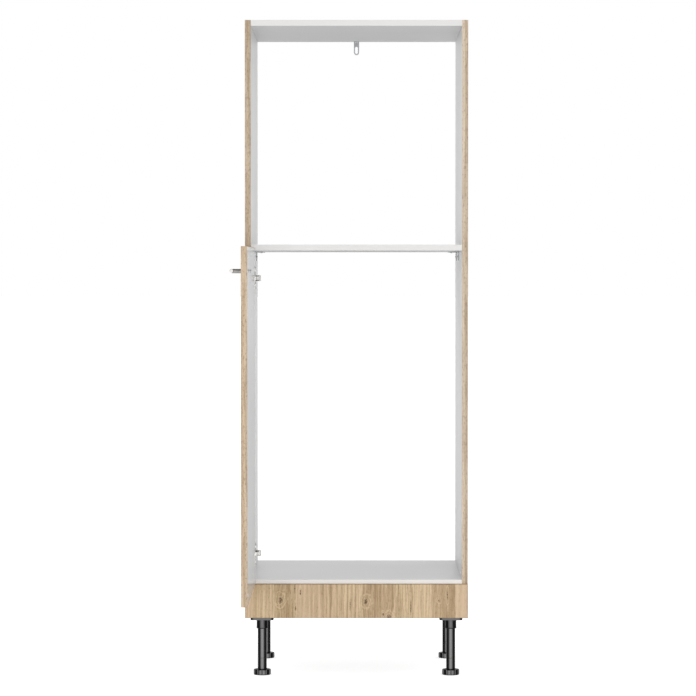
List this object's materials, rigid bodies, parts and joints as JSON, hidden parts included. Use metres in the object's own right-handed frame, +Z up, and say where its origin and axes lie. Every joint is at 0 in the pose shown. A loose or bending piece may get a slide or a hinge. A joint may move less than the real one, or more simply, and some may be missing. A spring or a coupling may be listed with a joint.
{
  "type": "fridge housing unit",
  "caption": "Tall open kitchen housing for a built-in oven above a fridge, with a hinged oak-look door standing open, a base panel and black adjustable legs.",
  "frame": {"origin": "on the floor, under the middle of the whole unit as it stands with its door open", "axes": "+Z up; +X to the right as seen from the front; +Y from the front edges to the back"},
  "size_m": [0.62, 1.168, 1.77],
  "materials": {
    "oak_board": "matt oak decor foil on the outside and front edges, white melamine on the inside",
    "white_board": "satin white melamine on chipboard",
    "grey_plastic": "matt moulded",
    "zinc_steel": "zinc plated, satin",
    "hinge_nickel": "nickel plated, semi-gloss",
    "hinge_steel": "bright turned",
    "handle_steel": "brushed",
    "buffer_rubber": "matt, translucent white",
    "leg_plastic": "satin moulded black"
  },
  "bodies": {
    "carcass": {"side_panel_left": "oak_board", "side_panel_right": "oak_board", "base_panel": "oak_board", "top_board": "white_board", "oven_shelf": "white_board", "fridge_floor": "white_board", "leg_rail_front": "white_board", "leg_rail_rear": "white_board", "base_block_left": "grey_plastic", "base_block_right": "grey_plastic", "shelf_bracket_left_front": "zinc_steel", "shelf_bracket_left_rear": "zinc_steel", "shelf_bracket_right_front": "zinc_steel", "shelf_bracket_right_rear": "zinc_steel", "wall_bracket": "zinc_steel", "hinge_plate_upper": "hinge_nickel", "hinge_plate_lower": "hinge_nickel", "hinge_arm_upper": "hinge_nickel", "hinge_arm_lower": "hinge_nickel", "hinge_arm_screw_upper": "hinge_nickel", "hinge_arm_screw_lower": "hinge_nickel", "hinge_arm_pin_upper": "hinge_steel", "hinge_arm_pin_lower": "hinge_steel", "leg_socket_front_left": "leg_plastic", "leg_socket_front_right": "leg_plastic", "leg_socket_rear_left": "leg_plastic", "leg_socket_rear_right": "leg_plastic", "leg_tube_front_left": "leg_plastic", "leg_tube_front_right": "leg_plastic", "leg_tube_rear_left": "leg_plastic", "leg_tube_rear_right": "leg_plastic"},
    "hinge_links": {"hinge_link_upper": "hinge_nickel", "hinge_link_lower": "hinge_nickel"},
    "door": {"door_panel": "oak_board", "hinge_cup_upper": "hinge_nickel", "hinge_cup_lower": "hinge_nickel", "hinge_cup_pin_upper": "hinge_steel", "hinge_cup_pin_lower": "hinge_steel", "handle_bar": "handle_steel", "handle_post_outer": "handle_steel", "handle_post_inner": "handle_steel", "handle_screw_outer": "handle_steel", "handle_screw_inner": "handle_steel", "door_buffer_upper": "buffer_rubber", "door_buffer_lower": "buffer_rubber"},
    "foot_front_left": {"leg_foot_front_left": "leg_plastic"},
    "foot_front_right": {"leg_foot_front_right": "leg_plastic"},
    "foot_rear_left": {"leg_foot_rear_left": "leg_plastic"},
    "foot_rear_right": {"leg_foot_rear_right": "leg_plastic"}
  },
  "joints": [
    {"name": "link_swing", "type": "hinge", "parent": "carcass", "child": "hinge_links", "pos_m": [-0.252, 0.032, 0.70625], "axis": [0, 0, 1], "range_deg": [-30.52, 2.72]},
    {"name": "door_swing", "type": "hinge", "parent": "hinge_links", "child": "door", "pos_m": [-0.268, 0.004, 0.70625], "axis": [0, 0, 1], "range_deg": [-10.71, 120.51]},
    {"name": "foot_front_left_screw", "type": "slide", "parent": "carcass", "child": "foot_front_left", "axis": [0, 0, -1], "range_m": [0, 0.02]},
    {"name": "foot_front_right_screw", "type": "slide", "parent": "carcass", "child": "foot_front_right", "axis": [0, 0, -1], "range_m": [0, 0.02]},
    {"name": "foot_rear_left_screw", "type": "slide", "parent": "carcass", "child": "foot_rear_left", "axis": [0, 0, -1], "range_m": [0, 0.02]},
    {"name": "foot_rear_right_screw", "type": "slide", "parent": "carcass", "child": "foot_rear_right", "axis": [0, 0, -1], "range_m": [0, 0.02]}
  ],
  "couplings": [
    {"joint": "link_swing", "follows": "door_swing", "ratio": -0.25317}
  ]
}
